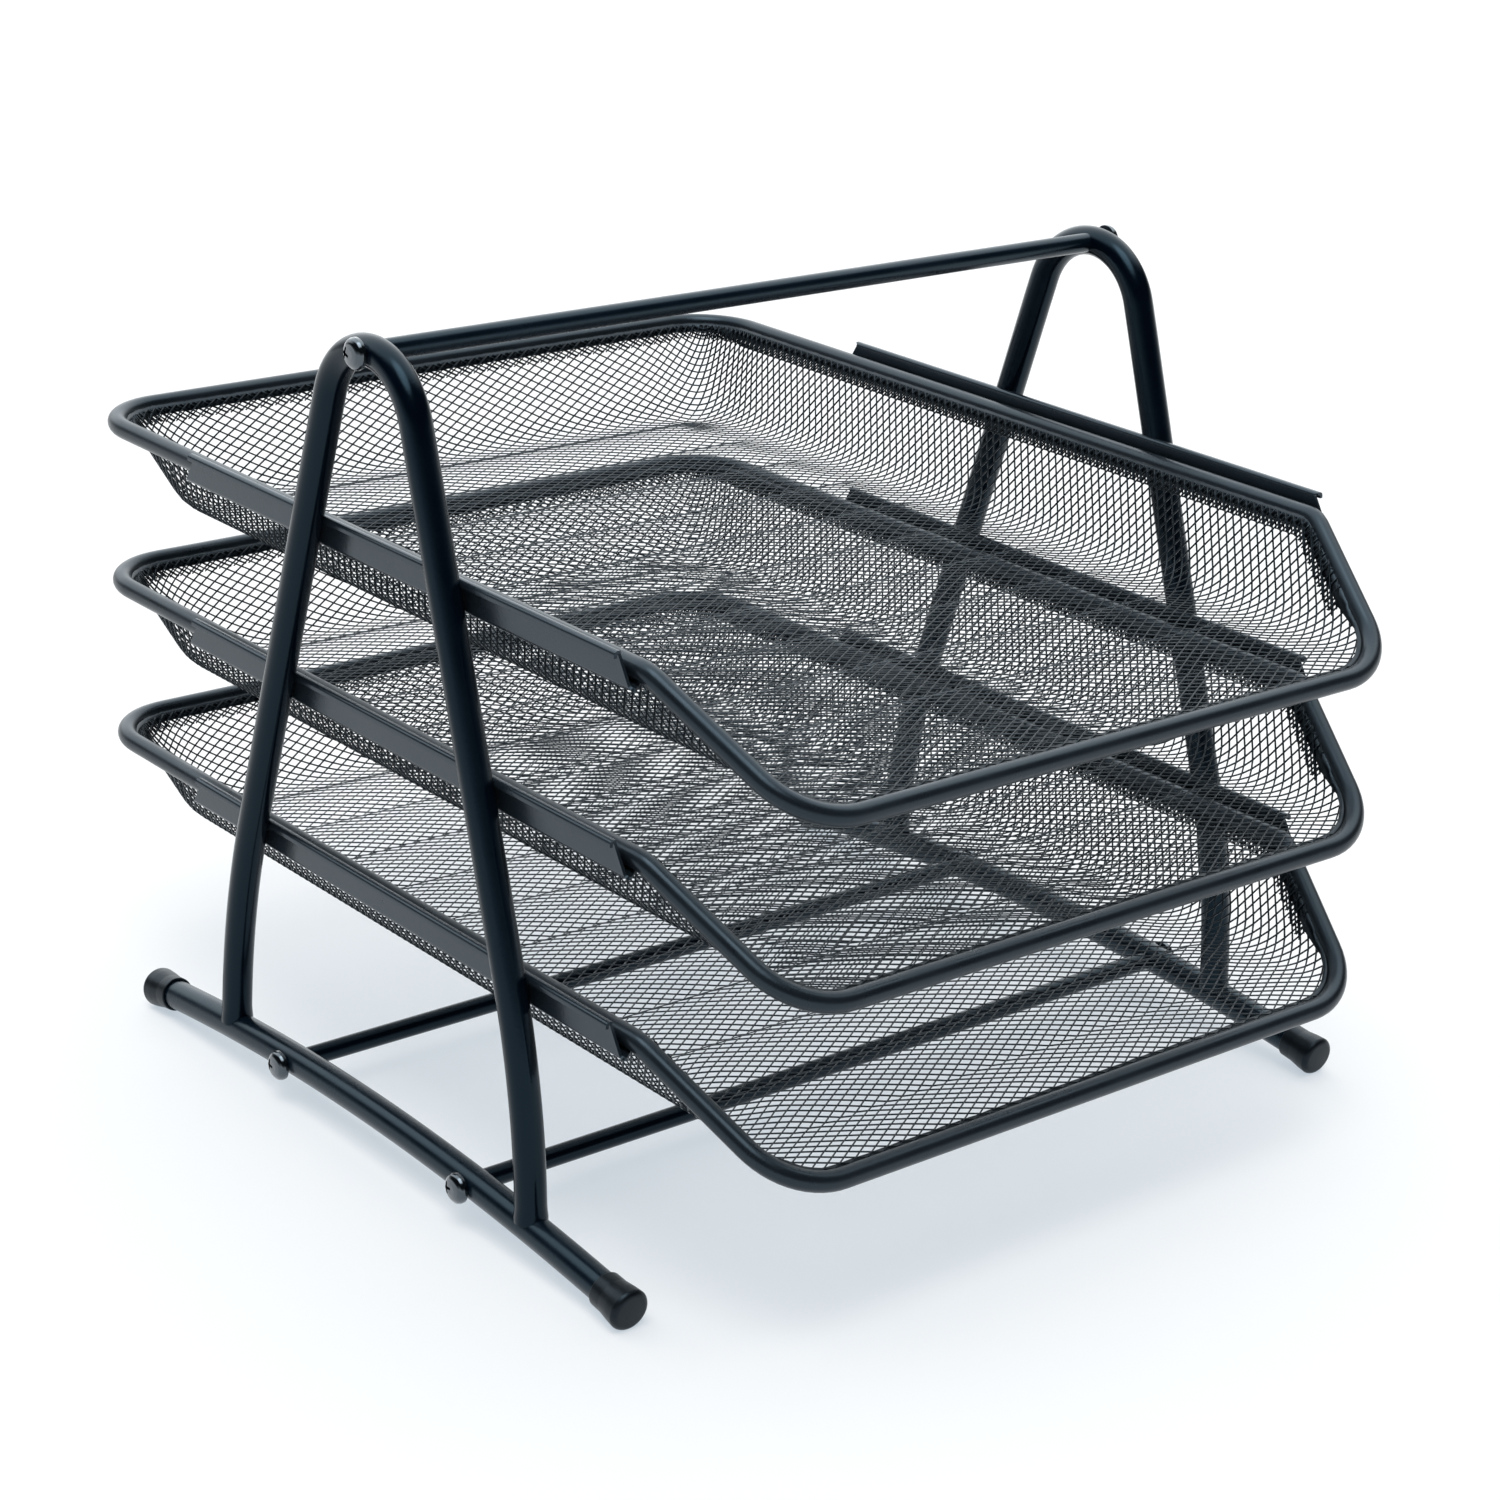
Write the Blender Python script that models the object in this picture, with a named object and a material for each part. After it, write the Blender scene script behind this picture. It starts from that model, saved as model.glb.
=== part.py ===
# Three-tier desk letter tray: a bent-tube stand with welded angle rails that
# carries three sliding mesh trays. Metres, +Z up, floor at z = 0, front at -Y.
import bpy
import bmesh
import math
from mathutils import Vector, Matrix

for ob in list(bpy.data.objects):
    bpy.data.objects.remove(ob, do_unlink=True)

MM = 0.001

# ---- driving dimensions (mm) ------------------------------------------------
GAP = 0.3                 # clearance between neighbouring pieces
TRAY_FRONT = 171.0        # rim centreline, ahead of the working origin
TRAY_BACK = 175.5         # and behind it
ORIGIN_Y = 2.25           # working origin to the middle of the whole part
RIM_R = 3.1               # rim rod radius
RIM_HALF_W = 128.7        # rim centreline half width, level part
RIM_FRONT_HALF_W = 111.8  # at the front rim
SLOPE_Y = -123.0          # where the side rods start down
FRONT_DROP = 31.5         # front rim below the side rims
TIER_Z = (79.8, 133.35, 186.9)
BACK_CORNER_R = 23.0
FRONT_CORNER_R = 24.0
BEND_R = 9.0

FRAME_X = 139.6           # planes of the two side frames
TUBE_R = 4.75
TUBE_WALL = 1.0
STAND_Y = -8.5            # centre of the side frames
APEX_Z = 249.6
APEX_R = 23.0
LEG_SLOPE = 0.313         # sideways run per unit of height
LEG_VIRTUAL = APEX_Z + 54.2
LEG_BEND_Z = 85.0         # below this the legs curve to near vertical

BASE_Y = -7.3
BASE_HALF = 126.3
BASE_END_Z = 6.2
BASE_MID_Z = 14.2
BAR_Y = (38.0, -60.0)     # rear and front cross bars
BAR_Z = 12.2
BAR_R = 3.1
SHANK_R = 1.7
HOLE_R = 2.0
HEAD_R = 4.7
HEAD_H = 2.9

RAIL_OUT = 134.55         # outer face of the rail web
SHEET = 1.0
RAIL_LOW = -4.5
RAIL_TOP = 6.0
RAIL_BACK_Y = 106.8
RAIL_FRONT_Y = -124.4
RAIL_CUT = 6.8
LEDGE_IN = 126.6
LEDGE_FRONT_Y = -118.6

BASKET_T = 0.8
BASKET_INSET = 4.15       # sheet centre inside the rim centreline
FLOOR_DROP = 28.5
WALL_RUN = 20.6           # plan width of a leaning wall
RIB_COUNT = 9              # arched panels across the tray floor
RIB_H = 1.1
GROOVE_PITCH = 29.5
GROOVE_Y = -148.0


# ---- helpers -------------------------------------------------------------------
def material(name, rgb, rough, metal):
    m = bpy.data.materials.new(name)
    m.use_nodes = True
    b = m.node_tree.nodes["Principled BSDF"]
    b.inputs["Base Color"].default_value = (rgb[0], rgb[1], rgb[2], 1.0)
    b.inputs["Roughness"].default_value = rough
    b.inputs["Metallic"].default_value = metal
    m.diffuse_color = (rgb[0], rgb[1], rgb[2], 1.0)
    return m


def make(name, verts, faces, mat_args, smooth=True):
    me = bpy.data.meshes.new(name)
    me.from_pydata([(Vector(v) - Vector((0, ORIGIN_Y, 0))) * MM for v in verts], [], faces)
    bm = bmesh.new()
    bm.from_mesh(me)
    bmesh.ops.recalc_face_normals(bm, faces=bm.faces)
    bm.to_mesh(me)
    bm.free()
    ob = bpy.data.objects.new(name, me)
    bpy.context.scene.collection.objects.link(ob)
    if mat_args:
        me.materials.append(material("mat_" + name, *mat_args))
    if smooth:
        me.shade_smooth()
        me.set_sharp_from_angle(angle=math.radians(38))
    return ob


def cut(ob, cutter):
    m = ob.modifiers.new("cut", "BOOLEAN")
    m.operation = "DIFFERENCE"
    m.solver = "EXACT"
    m.object = cutter
    deps = bpy.context.evaluated_depsgraph_get()
    deps.update()
    new = bpy.data.meshes.new_from_object(ob.evaluated_get(deps))
    ob.modifiers.remove(m)
    old = ob.data
    ob.data = new
    new.name = ob.name
    bpy.data.meshes.remove(old)
    bpy.data.objects.remove(cutter, do_unlink=True)
    ob.data.shade_smooth()
    ob.data.set_sharp_from_angle(angle=math.radians(38))


def fillet(pts, radii, closed, n):
    pts = [Vector(p) for p in pts]
    out = []
    cnt = len(pts)
    for i in range(cnt):
        if (not closed and i in (0, cnt - 1)) or radii[i] <= 0:
            out.append(pts[i])
            continue
        a, b, c = pts[i - 1], pts[i], pts[(i + 1) % cnt]
        u = (a - b).normalized()
        v = (c - b).normalized()
        ang = math.acos(max(-1, min(1, u.dot(v))))
        r = radii[i]
        t = r / math.tan(ang / 2)
        cc = b + (u + v).normalized() * (r / math.sin(ang / 2))
        e0 = (b + u * t - cc) / r
        e1 = (b + v * t - cc) / r
        th = math.pi - ang
        for k in range(n + 1):
            s = k / n
            out.append(cc + r * (e0 * math.sin((1 - s) * th) + e1 * math.sin(s * th)) / math.sin(th))
    return out


def rings(path, side_of, radius, seg, closed):
    res = []
    n = len(path)
    for i, p in enumerate(path):
        if closed:
            t = (path[(i + 1) % n] - path[i - 1]).normalized()
        elif i == 0:
            t = (path[1] - path[0]).normalized()
        elif i == n - 1:
            t = (path[-1] - path[-2]).normalized()
        else:
            t = (path[i + 1] - path[i - 1]).normalized()
        s = side_of(t)
        u = s.cross(t).normalized()
        # widen the section on a bend so the tube keeps its diameter
        res.append([p + radius * (s * math.cos(a) + u * math.sin(a))
                    for a in [2 * math.pi * k / seg for k in range(seg)]])
    return res


def across_x(t):
    return Vector((1, 0, 0))


def level_side(t):
    return t.cross(Vector((0, 0, 1))).normalized()


def skin(rs, seg, base, faces, closed):
    n = len(rs)
    for i in range(n if closed else n - 1):
        j = (i + 1) % n
        for k in range(seg):
            m = (k + 1) % seg
            faces.append((base + i * seg + k, base + i * seg + m, base + j * seg + m, base + j * seg + k))


def sweep(name, path, side_of, radius, seg, mat, closed=False, wall=0.0):
    rs = rings(path, side_of, radius, seg, closed)
    verts = [v for r in rs for v in r]
    faces = []
    skin(rs, seg, 0, faces, closed)
    if not closed:
        last = (len(rs) - 1) * seg
        if wall > 0:
            inner = rings(path, side_of, radius - wall, seg, closed)
            base = len(verts)
            verts += [v for r in inner for v in r]
            skin(inner, seg, base, faces, closed)
            for k in range(seg):
                m = (k + 1) % seg
                faces.append((k, m, base + m, base + k))
                faces.append((last + k, last + m, base + last + m, base + last + k))
        else:
            faces.append(tuple(range(seg)))
            faces.append(tuple(last + k for k in range(seg)))
    return make(name, verts, faces, mat)


def lathe(name, profile, seg, place, mat):
    """profile: closed loop of (r, h); r = 0 points close on the axis."""
    verts = []
    idx = []
    for r, h in profile:
        if r < 1e-6:
            idx.append([len(verts)] * seg)
            verts.append(place @ Vector((0, 0, h)))
        else:
            row = []
            for k in range(seg):
                a = 2 * math.pi * k / seg
                row.append(len(verts))
                verts.append(place @ Vector((r * math.cos(a), r * math.sin(a), h)))
            idx.append(row)
    faces = []
    n = len(profile)
    wrap = profile[0][0] > 1e-6
    for i in range(n if wrap else n - 1):
        j = (i + 1) % n
        for k in range(seg):
            m = (k + 1) % seg
            f = []
            for v in (idx[i][k], idx[i][m], idx[j][m], idx[j][k]):
                if v not in f:
                    f.append(v)
            if len(f) > 2:
                faces.append(tuple(f))
    return make(name, verts, faces, mat)


def along(axis, origin):
    """matrix taking local +Z to axis, placed at origin"""
    q = Vector((0, 0, 1)).rotation_difference(Vector(axis).normalized())
    return Matrix.Translation(Vector(origin)) @ q.to_matrix().to_4x4()


PAINT = ((0.028, 0.033, 0.042), 0.36, 0.0)
PLASTIC = ((0.014, 0.015, 0.017), 0.42, 0.0)
SCREW = ((0.022, 0.024, 0.028), 0.24, 0.6)
MESH = ((0.020, 0.023, 0.028), 0.42, 0.0)


# ---- side frames, base tubes ---------------------------------------------------
def leg_offset(z):
    w = LEG_SLOPE * (LEG_VIRTUAL - z)
    if z < LEG_BEND_Z:
        w -= 10.6 * ((LEG_BEND_Z - z) / 73.0) ** 2
    return w


def base_z(y):
    u = (y - BASE_Y) / BASE_HALF
    return BASE_END_Z + (BASE_MID_Z - BASE_END_Z) * (1 - u * u)


def base_path(x, n=16):
    out = []
    for i in range(n + 1):
        y = BASE_Y + BASE_HALF - 2 * BASE_HALF * i / n
        out.append(Vector((x, y, base_z(y))))
    return out


def frame_path(x):
    b = math.atan(LEG_SLOPE)
    zc = APEX_Z - APEX_R
    half = []
    for z in (12.0, 25.0, 38.0, 50.0, 62.0, 74.0, 86.0):
        half.append(Vector((x, STAND_Y + leg_offset(z), z)))
    top = leg_offset
    n = 7
    for k in range(n + 1):
        a = b + (math.pi / 2 - b) * k / n
        half.append(Vector((x, STAND_Y + APEX_R * math.cos(a), zc + APEX_R * math.sin(a))))
    front = [Vector((x, 2 * STAND_Y - p.y, p.z)) for p in half[:-1]]
    return half + front[::-1]


def frames():
    for side, sx in (("left", -1), ("right", 1)):
        x = sx * FRAME_X
        fr = sweep(side + "_a_frame_tube", frame_path(x), across_x, TUBE_R, 16, PAINT, wall=TUBE_WALL)
        cope = sweep("cutter", base_path(x, 20), across_x, TUBE_R + GAP, 24, None)
        cut(fr, cope)
        hole = lathe("cutter", [(0, -8), (HOLE_R, -8), (HOLE_R, 8), (0, 8)], 16,
                     along((1, 0, 0), (x, STAND_Y, APEX_Z)), None)
        cut(fr, hole)
        bt = sweep(side + "_base_tube", base_path(x), across_x, TUBE_R, 16, PAINT, wall=TUBE_WALL)
        for y in BAR_Y:
            hole = lathe("cutter", [(0, -8), (HOLE_R, -8), (HOLE_R, 8), (0, 8)], 16,
                         along((1, 0, 0), (x, y, BAR_Z)), None)
            cut(bt, hole)


def cross_rod(name, y, z, cope_path):
    """solid rod between the side tubes, ends coped and tapped"""
    end = FRAME_X - 2.2
    bore = FRAME_X - TUBE_R - 13.0
    prof = [(BAR_R, -end), (BAR_R, end), (HOLE_R, end), (HOLE_R, bore), (0, bore - 1.0)]
    verts = []
    rows = []
    seg = 16
    full = [(0, -bore + 1.0), (HOLE_R, -bore), (HOLE_R, -end), (BAR_R, -end), (BAR_R, end),
            (HOLE_R, end), (HOLE_R, bore), (0, bore - 1.0)]
    rod = lathe(name, full, seg, along((1, 0, 0), (0, y, z)), PAINT)
    for sx in (-1, 1):
        c = sweep("cutter", cope_path(sx * FRAME_X), across_x, TUBE_R + GAP, 32, None)
        cut(rod, c)
    return rod


def rods():
    def apex_cope(x):
        return [Vector((x, STAND_Y + d, APEX_Z)) for d in (-12, 12)]
    cross_rod("handle_bar", STAND_Y, APEX_Z, apex_cope)
    for name, y in (("rear_cross_bar", BAR_Y[0]), ("front_cross_bar", BAR_Y[1])):
        cross_rod(name, y, BAR_Z, lambda x: base_path(x, 20))


# ---- end caps ------------------------------------------------------------------
def caps():
    for side, sx in (("left", -1), ("right", 1)):
        x = sx * FRAME_X
        for end, sy in (("rear", 1), ("front", -1)):
            y = BASE_Y + sy * BASE_HALF
            slope = -2 * (BASE_MID_Z - BASE_END_Z) / BASE_HALF
            axis = Vector((0, sy, slope)).normalized()
            tip = Vector((x, y, BASE_END_Z))
            bore = TUBE_R + GAP
            prof = [(0, GAP), (bore, GAP), (bore, -8.6), (bore + 0.25, -9.0), (bore + 0.55, -9.0), (bore + 0.75, -8.7),
                    (bore + 0.75, -5.0), (5.95, -1.5), (6.35, 1.2), (6.4, 2.2), (6.1, 3.1), (5.2, 3.7), (0, 3.9)]
            cap = lathe("end_cap_" + side + "_" + end, prof, 24, along(axis, tip), PLASTIC)
            # small flat where the cap stands on the desk
            knife = make("cutter", [(x + a, y + b, c) for c in (-9, 0) for a, b in
                                    ((-12, -16), (12, -16), (12, 16), (-12, 16))],
                         [(0, 1, 2, 3), (4, 5, 6, 7), (0, 1, 5, 4), (1, 2, 6, 5), (2, 3, 7, 6), (3, 0, 4, 7)], None, False)
            cut(cap, knife)


# ---- screws --------------------------------------------------------------------
def screw(name, sx, y, z):
    face = sx * (FRAME_X + TUBE_R + GAP)
    place = along((sx, 0, 0), (face, y, z))
    length = TUBE_R * 2 + GAP + 10.0
    prof = [(0, -length), (SHANK_R - 0.4, -length), (SHANK_R, -length + 0.5), (SHANK_R, 0.0), (HEAD_R - 0.2, 0.0),
            (HEAD_R, 0.25), (HEAD_R, 0.9), (HEAD_R - 0.35, 1.65), (HEAD_R - 1.2, 2.35), (HEAD_R - 2.6, 2.8), (0, HEAD_H)]
    ob = lathe(name, prof, 24, place, SCREW)
    top, low = [], []
    for k in range(4):
        a = k * math.pi / 2
        for r, da in ((2.35, -0.2), (2.35, 0.2)):
            top.append((r * math.cos(a + da), r * math.sin(a + da), 3.4))
            low.append((0.45 * r * math.cos(a + da * 1.5), 0.45 * r * math.sin(a + da * 1.5), 1.1))
        b = a + math.pi / 4
        top.append((0.8 * math.cos(b), 0.8 * math.sin(b), 3.4))
        low.append((0.5 * math.cos(b), 0.5 * math.sin(b), 1.1))
    verts = [place @ Vector(v) for v in low + top]
    n = 12
    faces = [tuple(range(n)), tuple(range(n, 2 * n))]
    for k in range(n):
        m = (k + 1) % n
        faces.append((k, m, n + m, n + k))
    cut(ob, make("cutter", verts, faces, None, False))


def screws():
    for side, sx in (("left", -1), ("right", 1)):
        screw("handle_screw_" + side, sx, STAND_Y, APEX_Z)
        screw("base_screw_" + side + "_rear", sx, BAR_Y[0], BAR_Z)
        screw("base_screw_" + side + "_front", sx, BAR_Y[1], BAR_Z)


# ---- rails ---------------------------------------------------------------------
def rail(name, sx, zi):
    """1 mm sheet: level ledge, upright web, small rolled lip along the top"""
    t = SHEET / 2
    xc = RAIL_OUT - t
    zl = zi - RIM_R - GAP - t
    line = [(LEDGE_IN, zl), (xc - 0.9, zl), (xc - 0.25, zl + 0.25), (xc, zl + 0.9), (xc, zi + 0.4),
            (xc, zi + RAIL_TOP - 1.1)]
    cx, cz, r = xc + 0.95, zi + RAIL_TOP - 1.1, 0.95
    for k in range(1, 6):
        a = math.pi - k * math.pi / 5
        line.append((cx + r * math.cos(a), cz + r * math.sin(a)))
    line = [Vector((p[0], p[1])) for p in line]
    n = len(line)
    verts = []
    z0, z1 = zi + RAIL_LOW, zi + 0.6
    ycols = []
    for i, p in enumerate(line):
        f = min(1.0, max(0.0, (p.y - z0) / (z1 - z0)))
        yb = RAIL_BACK_Y - RAIL_CUT * f
        yf = RAIL_FRONT_Y + RAIL_CUT * f
        if i < 2:
            yf = max(yf, LEDGE_FRONT_Y)
        if i >= 6:
            yb, yf = yb + 0.7, yf - 0.7
        ycols.append((yf, yb))
    nst = 3
    for s in range(nst):
        for i, p in enumerate(line):
            a = line[max(0, i - 1)]
            b = line[min(n - 1, i + 1)]
            d = (b - a).normalized()
            nrm = Vector((-d.y, d.x))
            y = ycols[i][0] + (ycols[i][1] - ycols[i][0]) * s / (nst - 1)
            for q in (p + nrm * t, p - nrm * t):
                verts.append((sx * q.x, y, q.y))
    faces = []
    for s in range(nst - 1):
        o0, o1 = s * 2 * n, (s + 1) * 2 * n
        for i in range(n - 1):
            faces.append((o0 + 2 * i, o0 + 2 * i + 2, o1 + 2 * i + 2, o1 + 2 * i))
            faces.append((o0 + 2 * i + 1, o0 + 2 * i + 3, o1 + 2 * i + 3, o1 + 2 * i + 1))
        faces.append((o0, o0 + 1, o1 + 1, o1))
        e = 2 * (n - 1)
        faces.append((o0 + e, o0 + e + 1, o1 + e + 1, o1 + e))
    for o in (0, (nst - 1) * 2 * n):
        for i in range(n - 1):
            faces.append((o + 2 * i, o + 2 * i + 1, o + 2 * i + 3, o + 2 * i + 2))
    ob = make(name, verts, faces, PAINT)
    # the lip is notched where the legs are welded on
    for sy in (-1, 1):
        path = [Vector((sx * FRAME_X, STAND_Y + sy * leg_offset(z), z)) for z in (zi - 14, zi + 14)]
        cut(ob, sweep("cutter", path, across_x, TUBE_R + GAP, 24, None))
    return ob


# ---- trays ---------------------------------------------------------------------
def rim_path(zi, n=6):
    w, f = RIM_HALF_W, RIM_FRONT_HALF_W
    h, b = TRAY_FRONT, TRAY_BACK
    pts = [(-w, b, zi), (w, b, zi), (w, SLOPE_Y, zi), (f, -h, zi - FRONT_DROP), (-f, -h, zi - FRONT_DROP), (-w, SLOPE_Y, zi)]
    rad = [BACK_CORNER_R, BACK_CORNER_R, BEND_R, FRONT_CORNER_R, FRONT_CORNER_R, BEND_R]
    return fillet(pts, rad, True, n)


def ramp(y):
    """0 on the level part, 1 at the front rim, rounded at the bend"""
    e = 5.0
    s = SLOPE_Y - y
    if s <= -e:
        return 0.0
    if s < e:
        s = (s + e) ** 2 / (4 * e)
    return s / (SLOPE_Y + TRAY_FRONT)


def half_width(y):
    return RIM_HALF_W - BASKET_INSET - (RIM_HALF_W - RIM_FRONT_HALF_W) * ramp(y)


def wall_height(y):
    return max(0.0, FLOOR_DROP - FRONT_DROP * ramp(y))


def wall_shape(t):
    """t: 0 at the floor, 1 at the rim -> plan fraction, height fraction"""
    b = 0.42
    lean = 0.62
    if t < b:
        s = t / b
        return 0.56 * s * (1 - 0.12 * s), 0.26 * s * s
    s = (t - b) / (1 - b)
    p0, h0 = 0.56 * 0.88, 0.26
    return p0 + (1 - p0) * s, h0 + (1 - h0) * s


def rib(y, x, half):
    """the floor is pressed into shallow arched cross panels with a groove between each pair"""
    s = (y - GROOVE_Y) / GROOVE_PITCH
    if s < 0 or s > RIB_COUNT:
        return 0.0
    f = s - math.floor(s)
    v = f / 0.65 if f < 0.65 else (1 - f) / 0.35
    edge = min(1.0, max(0.0, (half - 6.0 - abs(x)) / 10.0))
    return RIB_H * v * edge


def corner(gx, gy, a, b, r):
    """round the corner of a rectangle (half width a, edge at b) in plan"""
    if r <= 0 or gx <= a - r or gy <= b - r:
        return gx, gy
    p = (gx - (a - r)) / r
    q = (gy - (b - r)) / r
    return a - r + r * p * math.sqrt(1 - q * q / 2), b - r + r * q * math.sqrt(1 - p * p / 2)


def basket_point(u, v, zi):
    """u in -1..1 across, v in -1..1 front to back; returns a point of the sheet"""
    top_back = TRAY_BACK - BASKET_INSET
    floor_back = top_back - WALL_RUN
    front = -(TRAY_FRONT - 3.1)
    # rows: floor rows, then back-wall rows
    if v <= 0.8:
        y = front + (floor_back - front) * (v + 1) / 1.8
        tb = 0.0
    else:
        tb = (v - 0.8) / 0.2
        y = floor_back
    wall = wall_height(y)
    run = WALL_RUN * wall / FLOOR_DROP
    a = half_width(y)
    af = a - run
    au = abs(u)
    if au <= 0.8:
        x = af * au / 0.8
        ts = 0.0
    else:
        ts = (au - 0.8) / 0.2
        x = af
    # blend the two wall parameters in the back corners
    px, _ = wall_shape(ts)
    pb, _ = wall_shape(tb)
    xx = x + run * px
    yy = y + WALL_RUN * pb
    t = min(1.0, math.sqrt(ts * ts + tb * tb - (ts * tb) ** 2))
    t = max(ts, tb) if (ts == 0 or tb == 0) else 1 - (1 - ts) * (1 - tb) if False else max(ts, tb)
    _, hh = wall_shape(t)
    r = 20.0 + 2.0 * t
    # plan rounding in the back corners, front corners rounded a little too
    level_a = af + run * wall_shape(t)[0]
    level_b = floor_back + WALL_RUN * wall_shape(t)[0]
    xx, yy = corner(xx, yy, level_a, level_b, r) if yy > floor_back - 30 else (xx, yy)
    fr = 22.0
    if yy < front + fr and xx > 60:
        p = min(1.0, max(0.0, (xx - (a - fr * 0.75)) / (fr * 0.75)))
        q = min(1.0, max(0.0, (front + fr * 0.75 - yy) / (fr * 0.75)))
        if p > 0 and q > 0:
            xx = a - fr * 0.75 + fr * 0.75 * p * math.sqrt(1 - q * q / 2)
            yy = front + fr * 0.75 - fr * 0.75 * q * math.sqrt(1 - p * p / 2)
    z = zi - FLOOR_DROP + wall * hh
    if t == 0.0:
        z += rib(yy, xx, af)
    # the sheet dips slightly to land on the front rim
    d = max(0.0, (front + 8.0 - yy) / 8.0)
    z -= 0.7 * d
    return Vector((math.copysign(xx, u), yy, z))


def basket(name, zi):
    us = [-1.0, -0.95, -0.9, -0.85, -0.8, -0.68, 0.68, 0.8, 0.85, 0.9, 0.95, 1.0]
    y0, y1 = 3.1 - TRAY_FRONT, TRAY_BACK - BASKET_INSET - WALL_RUN
    ys = [y0 + t * (GROOVE_Y - y0) for t in (0.0, 0.2, 0.4, 0.7)]
    for k in range(RIB_COUNT):
        ys += [GROOVE_Y + GROOVE_PITCH * (k + t) for t in (0.0, 0.35, 0.65)]
    last = GROOVE_Y + GROOVE_PITCH * RIB_COUNT
    ys += [last + t * (y1 - last) for t in (0.0, 0.34, 0.67, 1.0)]
    vs = [-1 + 1.8 * (y - y0) / (y1 - y0) for y in ys] + [0.85, 0.9, 0.95, 1.0]
    nu, nvv = len(us), len(vs)
    grid = [[basket_point(u, v, zi) for u in us] for v in vs]
    verts = []
    for s in (0.5, -0.5):
        for j in range(nvv):
            for i in range(nu):
                a = grid[j][min(nu - 1, i + 1)] - grid[j][max(0, i - 1)]
                b = grid[min(nvv - 1, j + 1)][i] - grid[max(0, j - 1)][i]
                n = a.cross(b).normalized()
                verts.append(grid[j][i] + n * (s * BASKET_T))
    off = nu * nvv
    faces = []
    for j in range(nvv - 1):
        for i in range(nu - 1):
            q = (j * nu + i, j * nu + i + 1, (j + 1) * nu + i + 1, (j + 1) * nu + i)
            faces.append(q)
            faces.append(tuple(off + k for k in q[::-1]))
    edge = [i for i in range(nu)] + [j * nu + nu - 1 for j in range(1, nvv)] + \
           [(nvv - 1) * nu + i for i in range(nu - 2, -1, -1)] + [j * nu for j in range(nvv - 2, 0, -1)]
    for k in range(len(edge)):
        a, b = edge[k], edge[(k + 1) % len(edge)]
        faces.append((a, b, off + b, off + a))
    return make(name, verts, faces, MESH)


def trays():
    for label, zi in zip(("bottom", "middle", "top"), TIER_Z):
        sweep(label + "_tray_rim", rim_path(zi), level_side, RIM_R, 14, PAINT, closed=True)
        basket(label + "_tray_basket", zi)
        rail(label + "_rail_left", -1, zi)
        rail(label + "_rail_right", 1, zi)


frames()
rods()
caps()
screws()
trays()
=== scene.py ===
import math
import bpy
import numpy as np
from mathutils import Matrix, Vector


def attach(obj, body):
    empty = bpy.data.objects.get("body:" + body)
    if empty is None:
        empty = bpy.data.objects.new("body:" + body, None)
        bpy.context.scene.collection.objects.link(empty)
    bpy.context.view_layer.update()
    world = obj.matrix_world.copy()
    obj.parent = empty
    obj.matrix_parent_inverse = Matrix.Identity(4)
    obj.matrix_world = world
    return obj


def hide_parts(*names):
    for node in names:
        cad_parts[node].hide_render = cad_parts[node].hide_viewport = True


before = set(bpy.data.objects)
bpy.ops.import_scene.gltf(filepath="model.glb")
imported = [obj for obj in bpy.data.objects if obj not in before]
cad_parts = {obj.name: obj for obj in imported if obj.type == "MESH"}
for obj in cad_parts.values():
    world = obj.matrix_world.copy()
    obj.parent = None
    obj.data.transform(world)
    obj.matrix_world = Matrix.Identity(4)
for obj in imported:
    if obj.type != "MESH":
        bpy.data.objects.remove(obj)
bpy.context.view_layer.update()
MM = 0.001

# ---------------------------------------------------------------- dimensions (mm)
RIM_R, RIM_W, RIM_FW, HALF_D, BACK_D = 3.1, 128.7, 111.8, 171.0, 175.5
ORIGIN_Y = 2.25
SLOPE_Y, DROP = -123.0, 31.5
TIER = {"bottom": 79.8, "middle": 133.35, "top": 186.9}
FRAME_X, TUBE_R, STAND_Y, APEX_Z, APEX_R = 139.6, 4.75, -8.5, 249.6, 23.0
LEG_SLOPE, LEG_BEND_Z = 0.313, 85.0
BASE_Y, BASE_HALF, BASE_END_Z, BASE_MID_Z = -7.3, 126.3, 6.2, 14.2
BAR_Y, BAR_Z, BAR_R = {"rear": 38.0, "front": -60.0}, 12.2, 3.1
RAIL_OUT, RAIL_LOW, RAIL_TOP, RAIL_BACK, RAIL_FRONT, RAIL_CUT = 134.55, -4.5, 6.0, 106.8, -124.4, 6.8


# ---------------------------------------------------------------- mesh helpers
def mesh_object(name, co, quads, mats, tris=None, smooth=True, sharp=None):
    me = bpy.data.meshes.new(name)
    co = (np.asarray(co, np.float32) - np.array([0, ORIGIN_Y, 0], np.float32)) * MM
    quads = np.asarray(quads, np.int32).reshape(-1, 4)
    nq = len(quads)
    tris = np.asarray(tris if tris is not None else [], np.int32).reshape(-1, 3)
    nt = len(tris)
    me.vertices.add(len(co))
    me.vertices.foreach_set("co", co.ravel())
    me.loops.add(nq * 4 + nt * 3)
    me.loops.foreach_set("vertex_index", np.concatenate([quads.ravel(), tris.ravel()]))
    me.polygons.add(nq + nt)
    me.polygons.foreach_set("loop_start", np.concatenate([np.arange(nq) * 4, nq * 4 + np.arange(nt) * 3]).astype(np.int32))
    me.update(calc_edges=True)
    me.validate()
    if smooth:
        me.shade_smooth()
        if sharp:
            me.set_sharp_from_angle(angle=math.radians(sharp))
    for m in mats:
        me.materials.append(m)
    ob = bpy.data.objects.new(name, me)
    bpy.context.scene.collection.objects.link(ob)
    return ob


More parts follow.
